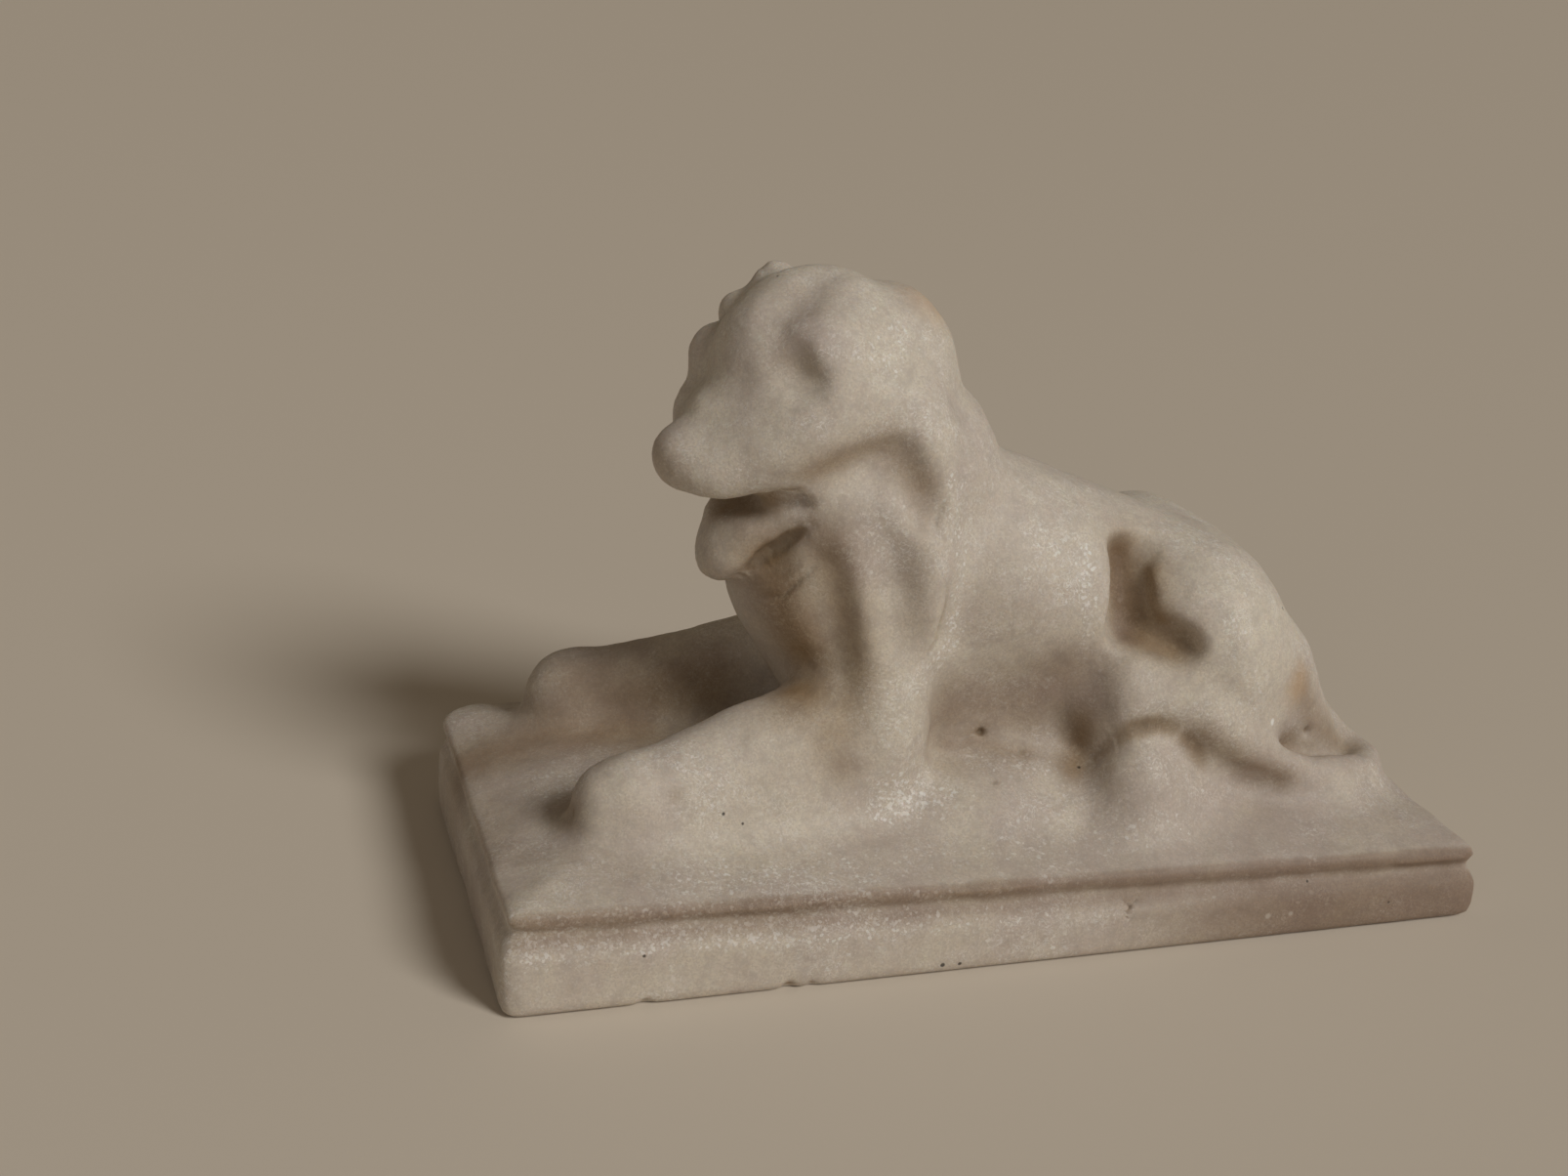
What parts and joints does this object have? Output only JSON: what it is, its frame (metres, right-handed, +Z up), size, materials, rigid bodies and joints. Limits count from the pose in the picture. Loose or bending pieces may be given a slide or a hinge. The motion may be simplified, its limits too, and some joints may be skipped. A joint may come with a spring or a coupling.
{
  "type": "alabaster lion figurine",
  "caption": "Worn alabaster lion lying on a stepped rectangular plinth, head raised and turned a little to its left",
  "frame": {"origin": "centre of the plinth's flat underside", "axes": "+Z up, the lion looks along -X with its head turned a little towards -Y, its left flank faces -Y"},
  "size_m": [0.1608, 0.0798, 0.1014],
  "materials": {
    "alabaster": "worn translucent alabaster, sugary grain, cream with mauve and brown in the hollows"
  },
  "bodies": {
    "root": {"lion_figurine": "alabaster"}
  },
  "joints": []
}
